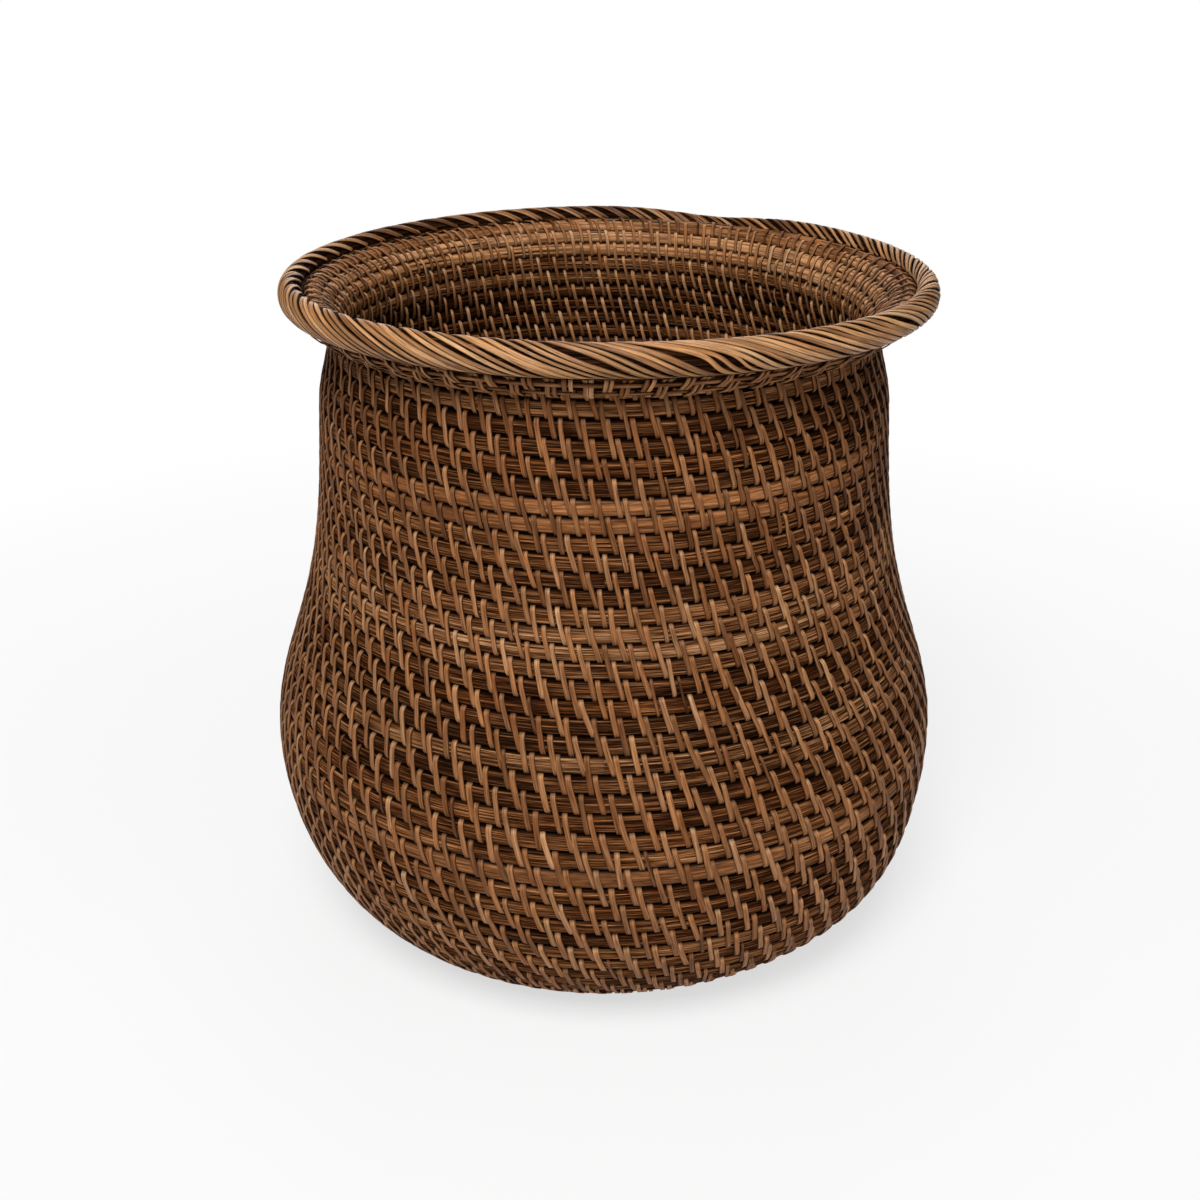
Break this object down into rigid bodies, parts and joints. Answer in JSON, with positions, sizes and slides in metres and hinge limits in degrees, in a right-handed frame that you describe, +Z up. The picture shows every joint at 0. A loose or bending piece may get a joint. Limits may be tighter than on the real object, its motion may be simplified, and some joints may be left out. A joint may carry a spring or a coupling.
{
  "type": "planter basket",
  "caption": "Coiled rattan planter basket with a rounded belly, a narrower neck and a flared lip under a wrapped rim; open at the top to hold a plant pot",
  "frame": {"origin": "centre of the underside, on the surface that the basket stands on", "axes": "+Z up along the axis of the basket; -Y towards the front of the picture"},
  "size_m": [0.3304, 0.3303, 0.321],
  "materials": {
    "cane": "satin",
    "strip": "satin",
    "hoop": "matte"
  },
  "bodies": {
    "root": {"base_start_coil": "cane", "base_cane_01": "cane", "base_cane_02": "cane", "base_cane_03": "cane", "base_cane_04": "cane", "base_cane_05": "cane", "base_cane_06": "cane", "base_cane_07": "cane", "wall_cane_01": "cane", "wall_cane_02": "cane", "wall_cane_03": "cane", "wall_cane_04": "cane", "wall_cane_05": "cane", "wall_cane_06": "cane", "wall_cane_07": "cane", "wall_cane_08": "cane", "wall_cane_09": "cane", "wall_cane_10": "cane", "wall_cane_11": "cane", "wall_cane_12": "cane", "wall_cane_13": "cane", "wall_cane_14": "cane", "wall_cane_15": "cane", "wall_cane_16": "cane", "wall_cane_17": "cane", "wall_cane_18": "cane", "wall_cane_19": "cane", "wall_cane_20": "cane", "wall_cane_21": "cane", "wall_cane_22": "cane", "wall_cane_23": "cane", "wall_cane_24": "cane", "wall_cane_25": "cane", "wall_cane_26": "cane", "wall_cane_27": "cane", "wall_cane_28": "cane", "wall_cane_29": "cane", "wall_cane_30": "cane", "wall_cane_31": "cane", "wall_cane_32": "cane", "wall_cane_33": "cane", "wall_cane_34": "cane", "wall_cane_35": "cane", "wall_cane_36": "cane", "lip_cane_01": "cane", "lip_cane_02": "cane", "lip_cane_03": "cane", "lip_cane_04": "cane", "lip_cane_05": "cane", "lip_cane_06": "cane", "lip_cane_07": "cane", "lip_cane_08": "cane", "lip_cane_09": "cane", "lip_cane_10": "cane", "rim_hoop": "hoop", "rim_wrapping": "strip", "rim_lashing": "strip"}
  },
  "joints": []
}
